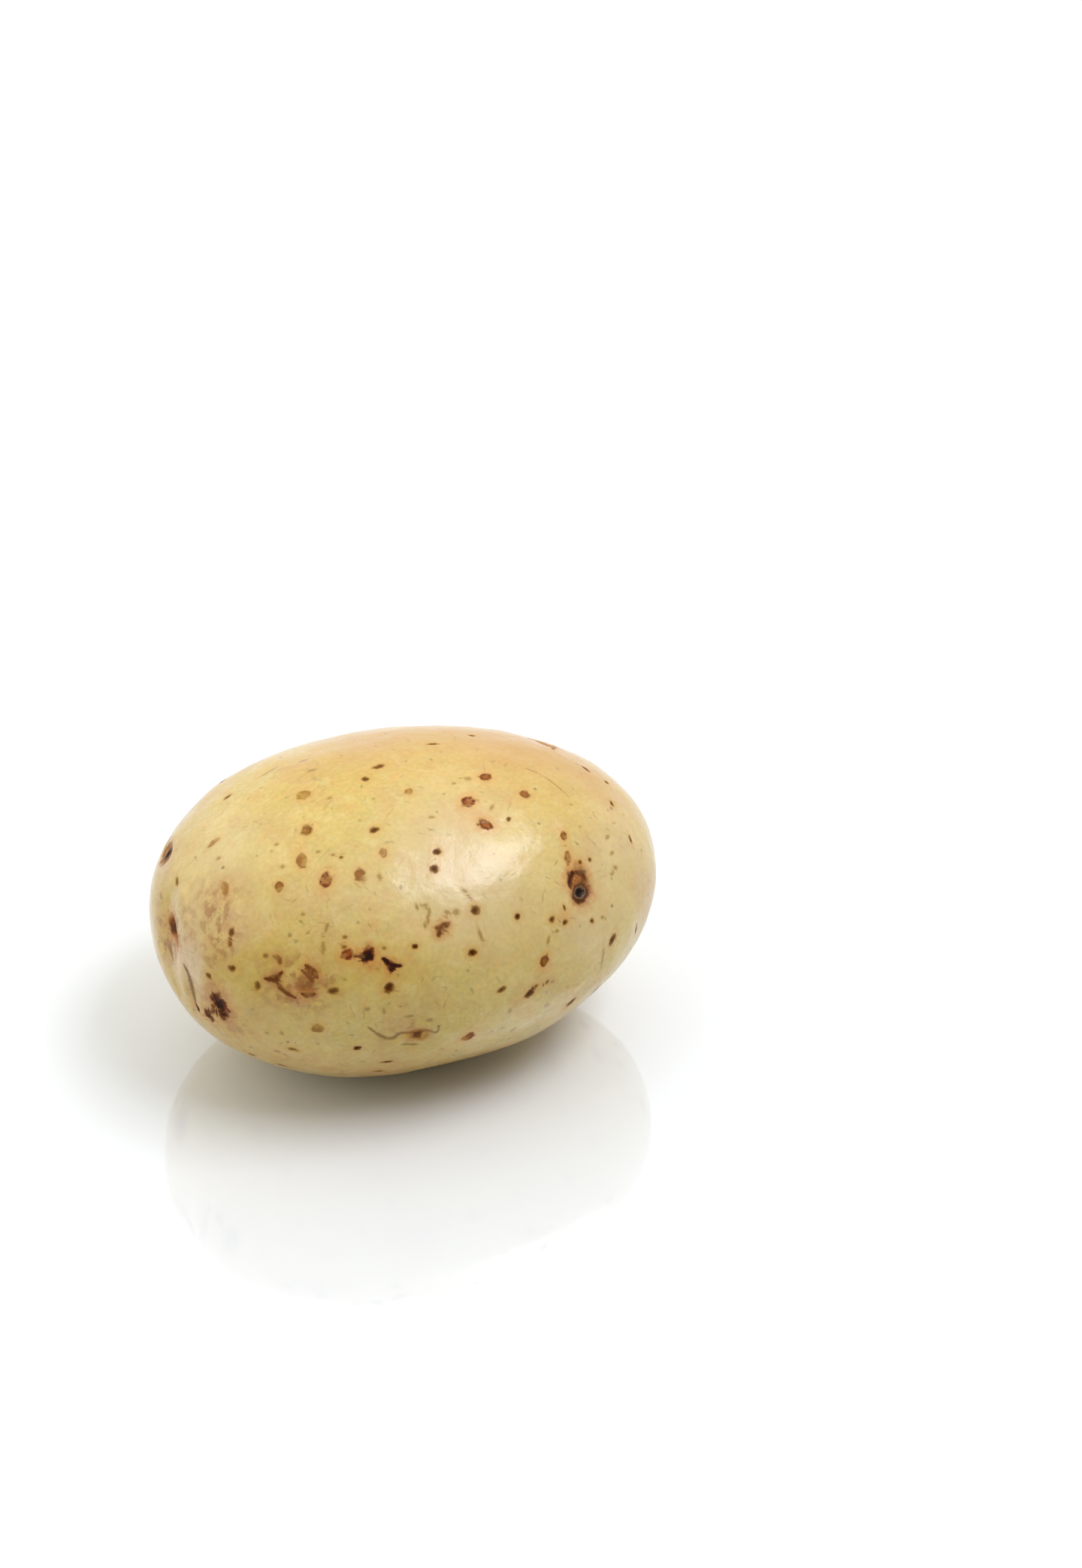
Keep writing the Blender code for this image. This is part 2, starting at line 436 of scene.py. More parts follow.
# Stage
CAMERA_AZIMUTH = -14
CAMERA_ELEVATION = 36
CAMERA_DISTANCE = 0.90
CAMERA_LENS = 103.75
AIM_RIGHT = 0.0279  # the camera aims to the right of the potato and above it,
AIM_UP = 0.0215  # so that the potato stands low and to the left in the view
FLOOR_SIZE = 8.0
LIGHT_COLOUR = (0.97, 0.99, 1.12)
ROOM_BRIGHTNESS = 0.17
BACK_WALL_BRIGHTNESS = 1.15
BACK_WALL_AZIMUTH = 195
BACK_WALL_ELEVATION = 25
BACK_WALL_EDGES = (-0.50, 0.60)  # cosines of the angles at which the wall's light starts and is full

# Soft lights: name, azimuth, elevation, distance, width, height, power
LIGHTS = [
    ("key_light", 62, 61, 2.0, 1.30, 0.80, 22.5),
    ("side_light", -82, 28, 2.0, 1.0, 1.0, 3.0),
]


# ---------------------------------------------------------------- form

def tuber_surface():
    """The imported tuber's surface, merged, to lay the skin on."""
    shape = bmesh.new()
    shape.from_mesh(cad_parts["potato"].data)
    bmesh.ops.remove_doubles(shape, verts=shape.verts, dist=1e-6)
    surface = BVHTree.FromBMesh(shape)
    shape.free()
    return surface


def way_to(along, around):
    """The direction from the tuber's middle to a place on it."""
    lengthwise = math.radians(along)
    turn = math.radians(around)
    across = math.cos(lengthwise)
    return Vector((
        math.sin(lengthwise) * HALF_SIZE.x,
        -across * math.cos(turn) * HALF_SIZE.y,
        across * math.sin(turn) * HALF_SIZE.z,
    )).normalized()


def cast(surface, way):
    """The surface point in a direction from the tuber's middle, and the normal there."""
    point, normal, index, distance = surface.ray_cast(MIDDLE, way)
    return point, normal


def even_step(value):
    """Spreads the squares of a cube evenly over a ball."""
    return math.tan(value * math.pi / 4)


def skin_cage(surface):
    """A cube of small squares drawn onto the tuber's surface."""
    shape = bmesh.new()
    bmesh.ops.create_cube(shape, size=2.0)
    bmesh.ops.subdivide_edges(shape, edges=shape.edges, cuts=CAGE_SIDE - 1, use_grid_fill=True)
    for vert in shape.verts:
        even = Vector([even_step(part) for part in vert.co]).normalized()
        way = Vector([part * half for part, half in zip(even, HALF_SIZE)]).normalized()
        vert.co = cast(surface, way)[0]
    for step in range(CAGE_SMOOTHING):
        bmesh.ops.smooth_vert(
            shape, verts=shape.verts, factor=0.5, use_axis_x=True, use_axis_y=True, use_axis_z=True)
    bmesh.ops.recalc_face_normals(shape, faces=shape.faces)
    mesh = bpy.data.meshes.new("skin_cage")
    shape.to_mesh(mesh)
    shape.free()
    return mesh


def fine_mesh(cage):
    """The cage rounded into a fine, even mesh."""
    holder = bpy.data.objects.new("skin_cage", cage)
    bpy.context.scene.collection.objects.link(holder)
    rounding = holder.modifiers.new("rounding", "SUBSURF")
    rounding.levels = SKIN_LEVELS
    rounding.render_levels = SKIN_LEVELS
    graph = bpy.context.evaluated_depsgraph_get()
    mesh = bpy.data.meshes.new_from_object(holder.evaluated_get(graph), depsgraph=graph)
    bpy.data.objects.remove(holder, do_unlink=True)
    mesh.name = "potato_skin"
    return mesh


def read_vectors(collection, name):
    values = np.empty(len(collection) * 3)
    collection.foreach_get(name, values)
    return values.reshape(-1, 3)


# ---------------------------------------------------------------- places and marks

class Place:
    """A place on the skin, with its directions towards the heel and around the tuber."""

    def __init__(self, surface, along, around):
        point, normal = cast(surface, way_to(along, around))
        if abs(normal.x) < 0.999:
            upward = normal.cross(Vector((1, 0, 0))).normalized()
        else:
            upward = Vector((0, 0, 1))
        heelward = upward.cross(normal).normalized()
        self.point = np.array(point)
        self.normal = np.array(normal)
        self.heelward = np.array(heelward)
        self.upward = np.array(upward)

    def distance(self, points):
        return np.linalg.norm(points - self.point, axis=1)


def curve_point(before, start, end, after, share):
    """A point on the smooth curve from start to end, given the points on either side of them."""
    rise = (end - before) / 2
    leave = (after - start) / 2
    gone = end - start
    bend = 3 * gone - 2 * rise - leave
    return start + share * (rise + share * (bend + share * (rise + leave - 2 * gone)))


def hill(distance, spread=1.0):
    """A smooth hill of height 1 that has died away at about twice its spread."""
    return np.exp(-((distance / spread) ** 2))


class Skin:
    """The fine mesh's points, the relief to raise on them, and the fields that the colours read.

    A mark's field holds, for its nearest mark and in mark sizes, the offset in two directions and the
    distance. A mark's outline lies at distance 1.
    """

    def __init__(self, mesh, surface):
        self.mesh = mesh
        self.surface = surface
        self.points = read_vectors(mesh.vertices, "co")
        self.normals = read_vectors(mesh.vertices, "normal")
        self.relief = np.zeros(len(self.points))
        self.fields = {}
        self.marks = {}

    def field(self, name):
        return self.fields.setdefault(name, np.zeros(len(self.points)))

    def keep_mark(self, kind, offsets, strength, redness=0.0):
        """Keeps the nearest mark of a kind at each point."""
        nearest = self.marks.setdefault(kind, np.full((len(self.points), 3), NO_MARK))
        closer = offsets[:, 2] < nearest[:, 2]
        nearest[closer] = offsets[closer]
        self.field(kind + "_strength")[closer] = strength
        if redness:
            self.field(kind + "_redness")[closer] = redness

    def place(self, along, around):
        return Place(self.surface, along, around)

    def oval(self, place, half_long, half_short, turn):
        """Offsets from the middle of an oval mark."""
        lean = math.radians(turn)
        long_way = math.cos(lean) * place.heelward + math.sin(lean) * place.upward
        short_way = math.cos(lean) * place.upward - math.sin(lean) * place.heelward
        away = self.points - place.point
        long_part = away @ long_way / half_long
        short_part = away @ short_way / half_short
        depth_part = away @ place.normal / half_long
        distance = np.sqrt(long_part ** 2 + short_part ** 2 + depth_part ** 2)
        return np.column_stack([long_part, short_part, distance])

    def path(self, stops):
        """Points on the skin along a smooth line through the given places."""
        knots = [self.place(*stop).point for stop in stops]
        knots = [2 * knots[0] - knots[1], *knots, 2 * knots[-1] - knots[-2]]
        points = []
        for before, start, end, after in zip(knots, knots[1:], knots[2:], knots[3:]):
            for piece in range(PATH_PIECES):
                bent = curve_point(before, start, end, after, piece / PATH_PIECES)
                points.append(np.array(cast(self.surface, (Vector(bent) - MIDDLE).normalized())[0]))
        points.append(knots[-2])
        return points

    def line(self, stops, half_width):
        """Offsets from a line mark, which is widest halfway and thins out towards its ends."""
        offsets = np.full((len(self.points), 3), OUT_OF_REACH)
        points = self.path(stops)
        lengths = [np.linalg.norm(end - start) for start, end in zip(points, points[1:])]
        passed = 0.0
        for start, end, length in zip(points, points[1:], lengths):
            way = (end - start) / length
            away = self.points - start
            travelled = away @ way
            reached = np.clip(travelled, 0.0, length)
            gap = away - reached[:, None] * way
            sideways = np.einsum("ij,ij->i", np.cross(way, self.normals), gap)
            distance = np.linalg.norm(gap, axis=1)
            share = (passed + reached) / sum(lengths)
            width_here = half_width * (LINE_END_WIDTH + LINE_BULGE * np.sin(math.pi * share))
            here = np.column_stack([sideways, travelled - reached, distance]) / width_here[:, None]
            closer = here[:, 2] < offsets[:, 2]
            offsets[closer] = here[closer]
            passed += length
        return offsets


def undulate(skin):
    """The soft unevenness that breaks up the gloss."""
    for wavelength, height in UNDULATIONS:
        waves = [noise.noise(Vector(point) / wavelength) for point in skin.points]
        skin.relief += height * np.array(waves)


def press_fold(skin, stops, half_width, height):
    """A soft groove or ridge."""
    offsets = skin.line(stops, half_width)
    skin.relief += height * hill(offsets[:, 2])


def sink_eye(skin, along, around, half_across, half_along, lean, depth, darkness):
    """A lens-shaped hollow with a lip on the heel side."""
    place = skin.place(along, around)
    offsets = skin.oval(place, half_across, half_along, 90 + lean)
    skin.keep_mark("eye", offsets, darkness)
    distance = offsets[:, 2]
    hollow = 1 / (1 + np.exp((distance - EYE_WALL) * EYE_WALL_STEEPNESS))
    heel_side = 0.5 - 0.5 * np.tanh(offsets[:, 1] * 1.5)
    lip = hill(distance - EYE_LIP_PLACE, EYE_LIP_WIDTH) * heel_side
    skin.relief += depth * (EYE_LIP * lip - hollow)


def sink_bud_pit(skin, along, around, radius, depth, strength):
    """A small dark pit with a raised edge and the dry tip of the bud in it."""
    offsets = skin.oval(skin.place(along, around), radius, radius * BUD_PIT_PROPORTION, along)
    skin.keep_mark("bud", offsets, strength)
    distance = offsets[:, 2]
    edge = 0.35 * hill(distance - 1.05, 0.3)
    tip = 0.4 * hill(distance, 0.25)
    skin.relief += depth * (edge - hill(distance, 0.7) + tip)


def raise_pore(skin, along, around, half_long, half_short, turn, strength, redness):
    """A corky pore: a low rim around a slightly sunk middle."""
    offsets = skin.oval(skin.place(along, around), half_long, half_short, turn)
    skin.keep_mark("pore", offsets, strength, redness)
    distance = offsets[:, 2]
    rim = PORE_RIM_HEIGHT * hill(distance - 0.85, 0.3)
    middle = PORE_MIDDLE_DEPTH * hill(distance, 0.45)
    skin.relief += strength * (rim - middle)


def sink_dot(skin, along, around, half_long, half_short, turn, strength):
    """A solid corky speck, slightly sunk."""
    offsets = skin.oval(skin.place(along, around), half_long, half_short, turn)
    skin.keep_mark("dot", offsets, strength)
    skin.relief -= strength * DOT_DEPTH * hill(offsets[:, 2], 0.8)


def scuff_fleck(skin, along, around, half_long, half_short, turn):
    """A faint fleck with no relief."""
    offsets = skin.oval(skin.place(along, around), half_long, half_short, turn)
    skin.keep_mark("fleck", offsets, 1.0)


def crust_scab(skin, along, around, half_long, half_short, turn, strength):
    """An oval scab in a shallow dip."""
    offsets = skin.oval(skin.place(along, around), half_long, half_short, turn)
    skin.keep_mark("scab", offsets, strength)
    skin.relief -= strength * SCAB_DEPTH * hill(offsets[:, 2], 0.9)


def crust_scab_line(skin, stops, half_width, strength):
    """A scab that runs in a line."""
    offsets = skin.line(stops, half_width)
    skin.keep_mark("scab", offsets, strength)
    skin.relief -= strength * SCAB_LINE_DEPTH * hill(offsets[:, 2], 1.2)


def raise_cork_line(skin, stops, half_width, strength):
    """A slightly raised streak of cork."""
    offsets = skin.line(stops, half_width)
    skin.keep_mark("streak", offsets, strength)
    skin.relief += strength * STREAK_HEIGHT * hill(offsets[:, 2], 1.0)


def cut_crease(skin, stops, half_width, strength):
    """A fine crack with soft edges."""
    offsets = skin.line(stops, half_width)
    skin.keep_mark("crease", offsets, strength)
    skin.relief -= strength * CREASE_DEPTH * hill(offsets[:, 2], 2.2)


def tinge(skin, name, along, around, spread, strength):
    """Adds a soft patch to one of the colour fields."""
    amount = skin.field(name)
    amount += strength * hill(skin.place(along, around).distance(skin.points), spread)


def scatter(skin, chooser, count, taken, gap):
    """Even but irregular places that keep clear of each other and of the side that the tables mark."""
    tabled_way = np.array(direction(CAMERA_AZIMUTH, CAMERA_ELEVATION))
    found = []
    while len(found) < count:
        way = Vector(chooser.normal(size=3)).normalized()
        along = math.degrees(math.asin(way.x))
        around = math.degrees(math.atan2(way.z, -way.y))
        place = skin.place(along, around)
        nearest = min(np.linalg.norm(place.point - other) for other in taken)
        if place.normal @ tabled_way < TABLED_SIDE and nearest > gap:
            found.append((along, around))
            taken.append(place.point)
    return found


def scatter_marks(skin):
    chooser = np.random.default_rng(SCATTER_SEED)
    taken = [skin.place(mark[0], mark[1]).point for mark in EYES + PORES + DOTS]
    for along, around in scatter(skin, chooser, SCATTERED_PORES, taken, PORE_GAP):
        half_long = chooser.uniform(0.0009, 0.0015)
        half_short = half_long * chooser.uniform(0.6, 0.9)
        turn = chooser.uniform(0, 180)
        strength = chooser.uniform(0.5, 1.05)
        raise_pore(skin, along, around, half_long, half_short, turn, strength, chooser.uniform(0, 0.9))
    for along, around in scatter(skin, chooser, SCATTERED_DOTS, taken, DOT_GAP):
        half_long = chooser.uniform(0.0005, 0.0011)
        half_short = half_long * chooser.uniform(0.5, 0.9)
        turn = chooser.uniform(0, 180)
        sink_dot(skin, along, around, half_long, half_short, turn, chooser.uniform(0.6, 1.15))
    for along, around in scatter(skin, chooser, SCATTERED_FLECKS, taken, FLECK_GAP):
        half_long = chooser.uniform(0.0004, 0.0011)
        half_short = chooser.uniform(0.0002, 0.0004)
        scuff_fleck(skin, along, around, half_long, half_short, chooser.uniform(0, 180))


def work_heel_scar(skin):
    """The round scar where the tuber came off its stolon, with a dry stub in its middle."""
    place = skin.place(*HEEL_SCAR)
    offsets = skin.oval(place, HEEL_SCAR_RADIUS, HEEL_SCAR_RADIUS, 0)
    distance = offsets[:, 2]
    angle = np.arctan2(offsets[:, 1], offsets[:, 0])
    wrinkles = 0.5 + 0.5 * np.cos(HEEL_WRINKLES * angle + 2 * np.sin(2 * angle))
    stub = HEEL_STUB_HEIGHT * hill(distance, 0.35)
    ring = HEEL_RING_DEPTH * hill(distance - 0.6, 0.3)
    skin.relief += stub - ring
    skin.relief -= HEEL_WRINKLE_DEPTH * wrinkles * hill(distance - 1.2, 0.5)
    skin.keep_mark("scab", offsets * HEEL_SCAB_SHARE, HEEL_SCAB_STRENGTH)


def work_skin(skin):
    undulate(skin)
    for fold in FOLDS:
        press_fold(skin, *fold)
    for eye in EYES:
        sink_eye(skin, *eye)
    for pit in BUD_PITS:
        sink_bud_pit(skin, *pit)
    for pore in PORES:
        raise_pore(skin, *pore)
    for dot in DOTS:
        sink_dot(skin, *dot)
    for fleck in FLECKS:
        scuff_fleck(skin, *fleck)
    for scab in SCABS:
        crust_scab(skin, *scab)
    for scab_line in SCAB_LINES:
        crust_scab_line(skin, *scab_line)
    for cork_line in CORK_LINES:
        raise_cork_line(skin, *cork_line)
    for crease in CREASES:
        cut_crease(skin, *crease)
    for patch in STAINS:
        tinge(skin, "stain", *patch)
    # paler skin, and painted sheen and highlight on the front and the rose end
    for patch in PALE_AND_SHEEN_PATCHES:
        tinge(skin, "pale_and_sheen", *patch)
    # golden skin, and painted shade over the top, the underside and the heel end's front
    for patch in GOLDEN_AND_SHADE_PATCHES:
        tinge(skin, "golden_and_shade", *patch)
    for patch in BLUSHES:
        tinge(skin, "blush", *patch)
    scatter_marks(skin)
    work_heel_scar(skin)


def finish_skin(skin):
    """Raises the relief, keeps the flat spot on the floor and hands the fields to the material."""
    points = skin.points + skin.normals * skin.relief[:, None]
    points[:, 2] += CAD_BOX[0].z - min(points[:, 2].min(), CAD_BOX[0].z)
    points[:, 2] = np.maximum(points[:, 2] - REST_SINK, CAD_BOX[0].z)
    skin.mesh.vertices.foreach_set("co", points.ravel())
    for name, values in skin.fields.items():
        layer = skin.mesh.attributes.new(name, "FLOAT", "POINT")
        layer.data.foreach_set("value", values)
    for name, offsets in skin.marks.items():
        layer = skin.mesh.attributes.new(name, "FLOAT_VECTOR", "POINT")
        layer.data.foreach_set("vector", offsets.ravel())
    skin.mesh.update()
    skin.mesh.shade_smooth()


def potato():
    surface = tuber_surface()
    skin = Skin(fine_mesh(skin_cage(surface)), surface)
    work_skin(skin)
    finish_skin(skin)
    skin.mesh.materials.clear()
    skin.mesh.materials.append(potato_skin_material())
    piece = bpy.data.objects.new("potato_skin", skin.mesh)
    bpy.context.scene.collection.objects.link(piece)
    return piece


# ---------------------------------------------------------------- material

def tint(red, green, blue):
    """A colour given in the usual 0 to 255 steps."""
    steps = [part / 255 for part in (red, green, blue)]
    linear = [part / 12.92 if part <= 0.04045 else ((part + 0.055) / 1.055) ** 2.4 for part in steps]
    return (*linear, 1.0)


# Sockets of the Mix node when it blends colours
MIX_AMOUNT, MIX_BELOW, MIX_ABOVE, MIX_RESULT = 0, 6, 7, 2


class Finish:
    """Short calls for the nodes of one material."""

    def __init__(self, name):
        self.material = bpy.data.materials.new(name)
        self.material.use_nodes = True
        self.tree = self.material.node_tree
        self.shader = self.tree.nodes["Principled BSDF"]
        self.place = self.tree.nodes.new("ShaderNodeTexCoord").outputs["Object"]

    def feed(self, socket, value):
        if isinstance(value, bpy.types.NodeSocket):
            self.tree.links.new(value, socket)
        else:
            socket.default_value = value

    def calc(self, operation, first, second=0.0, clamp=False):
        node = self.tree.nodes.new("ShaderNodeMath")
        node.operation = operation
        node.use_clamp = clamp
        self.feed(node.inputs[0], first)
        self.feed(node.inputs[1], second)
        return node.outputs[0]

    def times(self, first, *others):
        for other in others:
            first = self.calc("MULTIPLY", first, other)
        return first

    def vector(self, operation, first, second=(0.0, 0.0, 0.0), result="Vector"):
        node = self.tree.nodes.new("ShaderNodeVectorMath")
        node.operation = operation
        self.feed(node.inputs[0], first)
        self.feed(node.inputs[1], second)
        return node.outputs[result]

    def step(self, value, low, high, start=0.0, end=1.0):
        """A smooth step from start to end while the value goes from low to high."""
        node = self.tree.nodes.new("ShaderNodeMapRange")
        node.interpolation_type = "SMOOTHSTEP"
        self.feed(node.inputs["Value"], value)
        self.feed(node.inputs["From Min"], low)
        self.feed(node.inputs["From Max"], high)
        self.feed(node.inputs["To Min"], start)
        self.feed(node.inputs["To Max"], end)
        return node.outputs["Result"]

    def cloud(self, wavelength, detail=2.0, roughness=0.5, result="Fac"):
        """Soft noise with waves of the given length."""
        node = self.tree.nodes.new("ShaderNodeTexNoise")
        self.feed(node.inputs["Vector"], self.place)
        self.feed(node.inputs["Scale"], 1 / wavelength)
        self.feed(node.inputs["Detail"], detail)
        self.feed(node.inputs["Roughness"], roughness)
        return node.outputs[result]

    def cells(self, size):
        """The outputs of a pattern of cells, each with a point in it."""
        node = self.tree.nodes.new("ShaderNodeTexVoronoi")
        self.feed(node.inputs["Vector"], self.place)
        self.feed(node.inputs["Scale"], 1 / size)
        return node.outputs

    def first_channel(self, colour):
        node = self.tree.nodes.new("ShaderNodeSeparateColor")
        self.feed(node.inputs["Color"], colour)
        return node.outputs["Red"]

    def field(self, name, result="Fac"):
        node = self.tree.nodes.new("ShaderNodeAttribute")
        node.attribute_name = name
        return node.outputs[result]

    def blend(self, amount, below, above, mode="MIX"):
        node = self.tree.nodes.new("ShaderNodeMix")
        node.data_type = "RGBA"
        node.blend_type = mode
        node.clamp_factor = True
        self.feed(node.inputs[MIX_AMOUNT], amount)
        self.feed(node.inputs[MIX_BELOW], below)
        self.feed(node.inputs[MIX_ABOVE], above)
        return node.outputs[MIX_RESULT]

    def bump(self, height, distance, strength, below=None):
        node = self.tree.nodes.new("ShaderNodeBump")
        self.feed(node.inputs["Height"], height)
        self.feed(node.inputs["Distance"], distance)
        self.feed(node.inputs["Strength"], strength)
        if below is not None:
            self.feed(node.inputs["Normal"], below)
        return node.outputs["Normal"]

    def mark(self, name, wobble, wavelength):
        """The distance from a mark's middle, 1 on its outline, with an uneven edge."""
        split = self.tree.nodes.new("ShaderNodeSeparateXYZ")
        self.feed(split.inputs["Vector"], self.field(name, "Vector"))
        long_part = self.times(split.outputs["X"], split.outputs["X"])
        short_part = self.times(split.outputs["Y"], split.outputs["Y"])
        flat = self.calc("SQRT", self.calc("ADD", long_part, short_part))
        distance = self.calc("MAXIMUM", flat, self.calc("SUBTRACT", split.outputs["Z"], 1.0))
        unevenness = self.times(self.calc("SUBTRACT", self.cloud(wavelength, 3), 0.5), wobble)
        return self.calc("ADD", distance, unevenness)


# Colours of the skin itself
YELLOW = tint(210, 179, 82)
STRAW = tint(217, 188, 98)
GREENISH = tint(197, 176, 78)
PEACH = tint(216, 162, 82)
CREAM = tint(228, 206, 134)
TAN = tint(198, 152, 78)

# Colours of its patches
# colour of the pale patches: paler skin, and painted sheen and highlight
PALE_AND_SHEEN_TINT = tint(230, 208, 168)
# colour of the golden patches: golden skin, and painted shade where they stand for shade
GOLDEN_AND_SHADE_TINT = tint(196, 144, 64)
ORANGE = tint(214, 142, 62)
LIGHT_STAIN = tint(200, 142, 76)
DARK_STAIN = tint(184, 124, 80)

# Colours of its marks
NETTING_BROWN = tint(156, 110, 40)
FRECKLE_BROWN = tint(160, 104, 48)
SCUFF_OLIVE = tint(132, 108, 40)
CREASE_BROWN = tint(108, 66, 22)
PORE_HALO = tint(216, 150, 66)
PORE_RIM = tint(128, 78, 14)
RED_PORE_RIM = tint(118, 48, 10)
PORE_MIDDLE = tint(176, 122, 50)
RED_PORE_MIDDLE = tint(176, 92, 34)

# Mottling: wavelength, detail, level at which it starts, level at which it is full, amount, colour
MOTTLES = [
    (0.0060, 3, 0.44, 0.64, 0.42, GREENISH),
    (0.0038, 4, 0.48, 0.68, 0.34, PEACH),
    (0.0030, 3, 0.48, 0.68, 0.34, CREAM),
    (0.0090, 4, 0.50, 0.68, 0.36, TAN),
]

# Tiny specks: cell size, reach in cells, share of the cells that hold one, opacity, colour
SPECKS = [
    (0.0030, 0.16, 0.55, 0.40, tint(134, 110, 32)),
    (0.0056, 0.11, 0.45, 0.65, tint(110, 70, 12)),
]

# Short thin scuffs: cell size, half length, half width, opacity
SCUFFS = [
    (0.0030, 0.0010, 0.00020, 0.34),
    (0.0060, 0.0022, 0.00018, 0.30),
]

# Rings of a mark, from the outermost inwards: reach in mark sizes, softness, colour, opacity
EYE_RINGS = [
    (1.45, 0.60, tint(206, 142, 82), 0.70),
    (1.00, 0.22, tint(134, 80, 34), 0.95),
    (0.72, 0.40, tint(162, 104, 54), 0.62),
]
FLECK_RINGS = [
    (1.80, 0.70, tint(202, 158, 70), 0.35),
    (1.00, 0.50, tint(130, 96, 26), 0.55),
]
DOT_RINGS = [
    (2.10, 1.00, tint(210, 150, 60), 0.34),
    (1.08, 0.34, tint(126, 76, 12), 0.88),
    (0.60, 0.34, tint(66, 32, 0), 0.80),
]
STREAK_RINGS = [
    (2.50, 1.50, tint(198, 126, 60), 0.50),
    (1.05, 0.60, tint(108, 58, 16), 0.92),
]
SCAB_RINGS = [
    (2.20, 1.10, tint(196, 122, 58), 0.48),
    (1.18, 0.38, tint(112, 50, 16), 0.90),
    (0.68, 0.40, tint(44, 20, 12), 0.92),
]
BUD_RINGS = [
    (2.30, 0.60, tint(150, 92, 44), 0.55),
    (1.72, 0.30, tint(72, 40, 16), 0.85),
    (1.18, 0.16, tint(150, 118, 88), 0.62),
    (0.98, 0.20, tint(24, 14, 8), 0.96),
]

# How uneven the edges of the marks are: wobble in mark sizes, wavelength
MARK_EDGES = {
    "eye": (1.0, 0.0018),
    "fleck": (1.4, 0.0006),
    "pore": (1.2, 0.0011),
    "dot": (1.2, 0.0008),
    "crease": (1.6, 0.0012),
    "scab": (2.8, 0.0012),
    "bud": (1.3, 0.0012),
    "streak": (1.3, 0.0012),
}

# Fine bump of the skin and of the cork on it
PEBBLE_SIZE = 0.0011
PEBBLE_HEIGHT = 0.00010
CRUST_GRAIN = 0.0006
CRUST_HEIGHT = 0.00020

# Where a mark is corky: distance up to which it is, distance from which it is not, amount
CORKY_MARKS = {
    "pore": (0.9, 1.3, 0.8),
    "scab": (0.9, 1.5, 1.0),
    "dot": (0.8, 1.3, 0.9),
    "eye": (0.8, 1.3, 0.8),
    "bud": (1.2, 1.5, 0.9),
    "streak": (0.7, 1.6, 0.9),
}


def ground_colour(skin):
    """The mottled yellow of the skin itself."""
    colour = skin.blend(skin.step(skin.cloud(0.022), 0.38, 0.62), YELLOW, STRAW)
    for wavelength, detail, low, high, amount, shade in MOTTLES:
        mottle = skin.times(skin.step(skin.cloud(wavelength, detail), low, high), amount)
        colour = skin.blend(mottle, colour, shade)
    grain = skin.step(skin.cloud(0.0009, 2), 0.30, 0.70, 0.92, 1.05)
    grey = skin.tree.nodes.new("ShaderNodeCombineColor")
    for channel in grey.inputs:
        skin.feed(channel, grain)
    return skin.blend(1.0, colour, grey.outputs["Color"], "MULTIPLY")


def amount_of(skin, name):
    """How strongly a soft patch shows, at most 1."""
    return skin.calc("MINIMUM", skin.field(name), 1.0)


def add_blushes(skin, colour):
    mottle = skin.step(skin.cloud(0.0022, 3), 0.36, 0.62, 0.3, 1.0)
    return skin.blend(skin.times(amount_of(skin, "blush"), mottle, 0.55), colour, ORANGE)


def add_stains(skin, colour, stain_amount):
    mottle = skin.step(skin.cloud(0.0030, 3), 0.36, 0.62, 0.2, 1.0)
    hue = skin.step(skin.cloud(0.0065), 0.42, 0.58)
    shade = skin.blend(hue, LIGHT_STAIN, DARK_STAIN)
    return skin.blend(skin.times(stain_amount, mottle, 0.62), colour, shade)


def add_russet(skin, colour, stain_amount):
    """Thin brown netting and freckles, thickest in the stains."""
    patches = skin.step(skin.cloud(0.014, 2), 0.54, 0.70, 0.0, 0.45)
    cover = skin.calc("ADD", patches, stain_amount, clamp=True)
    off_line = skin.calc("ABSOLUTE", skin.calc("SUBTRACT", skin.cloud(0.0042, 3, 0.6), 0.5))
    line = skin.step(off_line, 0.004, 0.020, 1.0, 0.0)
    colour = skin.blend(skin.times(line, cover, 0.42), colour, NETTING_BROWN)
    freckle = skin.step(skin.cloud(0.0018, 3), 0.49, 0.64)
    return skin.blend(skin.times(freckle, stain_amount, 0.70), colour, FRECKLE_BROWN)


def add_specks(skin, colour, size, reach, keep, opacity, shade):
    """Tiny specks, one in some of the cells."""
    cell = skin.cells(size)
    kept = skin.calc("LESS_THAN", skin.first_channel(cell["Color"]), keep)
    spot = skin.step(cell["Distance"], reach * 0.4, reach, 1.0, 0.0)
    return skin.blend(skin.times(spot, kept, opacity), colour, shade)


def add_scuffs(skin, colour, size, half_length, half_width, opacity):
    """Short thin scuffs that lie every way, gathered in patches."""
    cell = skin.cells(size)
    bend = skin.vector("SCALE", skin.vector("SUBTRACT", skin.cloud(0.003, 2, 0.5, "Color"), (0.5, 0.5, 0.5)))
    bend.node.inputs["Scale"].default_value = 0.0016
    away = skin.vector("SUBTRACT", skin.vector("ADD", skin.place, bend), cell["Position"])
    across = skin.vector("NORMALIZE", skin.vector("SUBTRACT", cell["Color"], (0.5, 0.5, 0.5)))
    off_line = skin.calc("ABSOLUTE", skin.vector("DOT_PRODUCT", away, across, "Value"))
    line = skin.step(off_line, half_width * 0.4, half_width, 1.0, 0.0)
    near = skin.step(skin.vector("LENGTH", away, result="Value"), half_length * 0.5, half_length, 1.0, 0.0)
    patches = skin.step(skin.cloud(0.010, 2), 0.42, 0.60, 0.15, 1.0)
    return skin.blend(skin.times(line, near, patches, opacity), colour, SCUFF_OLIVE)


